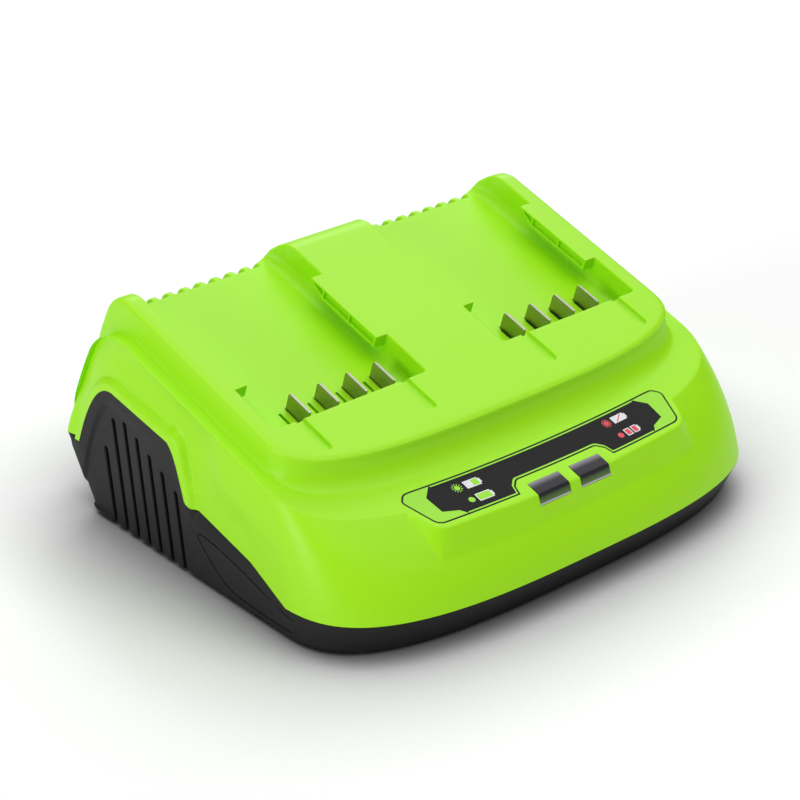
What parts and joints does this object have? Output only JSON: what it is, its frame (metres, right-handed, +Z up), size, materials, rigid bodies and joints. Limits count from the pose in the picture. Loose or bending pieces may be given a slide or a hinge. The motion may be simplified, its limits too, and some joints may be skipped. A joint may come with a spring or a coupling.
{
  "type": "power tool battery charger",
  "caption": "Free-standing twin-bay mains charger for slide-on tool batteries, with a sloping deck, side fan vents and a lit control panel.",
  "frame": {"origin": "on the ground under the middle of the body", "axes": "+X to the right seen from the front, +Y to the rear, +Z up; the control panel faces -Y"},
  "size_m": [0.218, 0.1838, 0.093],
  "materials": {
    "cover": "satin",
    "housing": "fine texture",
    "label": "gloss",
    "lens": "clear smoke",
    "blade": "nickel plated",
    "carrier": "moulded",
    "screw": "zinc plated",
    "board": "solder mask",
    "led": "moulded",
    "ferrite": "ground",
    "tape": "taped",
    "heat_sink": "extruded",
    "package": "moulded",
    "sleeve": "shrink sleeve",
    "copper": "enamelled wire",
    "ceramic": "glazed",
    "connector": "moulded",
    "fan_plastic": "moulded",
    "bronze": "sintered",
    "shaft": "ground",
    "rubber": "moulded"
  },
  "bodies": {
    "charger": {"top_cover": "cover", "base_housing": "housing", "label_plate": "label", "light_lens_left": "lens", "light_lens_right": "lens", "terminal_blades_left": "blade", "terminal_blades_right": "blade", "terminal_block_left": "carrier", "terminal_block_right": "carrier", "terminal_screws": "screw", "display_board": "board", "status_lights": "led", "main_board": "board", "board_screws": "screw", "transformer_core": "ferrite", "transformer_winding": "tape", "heat_sink_primary": "heat_sink", "heat_sink_secondary": "heat_sink", "power_transistors": "package", "bulk_capacitors": "sleeve", "output_capacitors": "sleeve", "filter_choke": "copper", "fuse": "ceramic", "mains_terminal": "connector", "output_sockets": "connector", "fan_frame": "fan_plastic", "fan_bearing": "bronze", "fan_stator": "copper", "cord_gland": "rubber", "rubber_feet": "rubber", "housing_screws": "screw"},
    "fan_rotor_body": {"fan_rotor": "fan_plastic", "fan_shaft": "shaft"}
  },
  "joints": [
    {"name": "fan_spin", "type": "hinge", "parent": "charger", "child": "fan_rotor_body", "pos_m": [-0.1015, 0.03865, 0.0308], "axis": [1, 0, 0], "continuous": true}
  ]
}
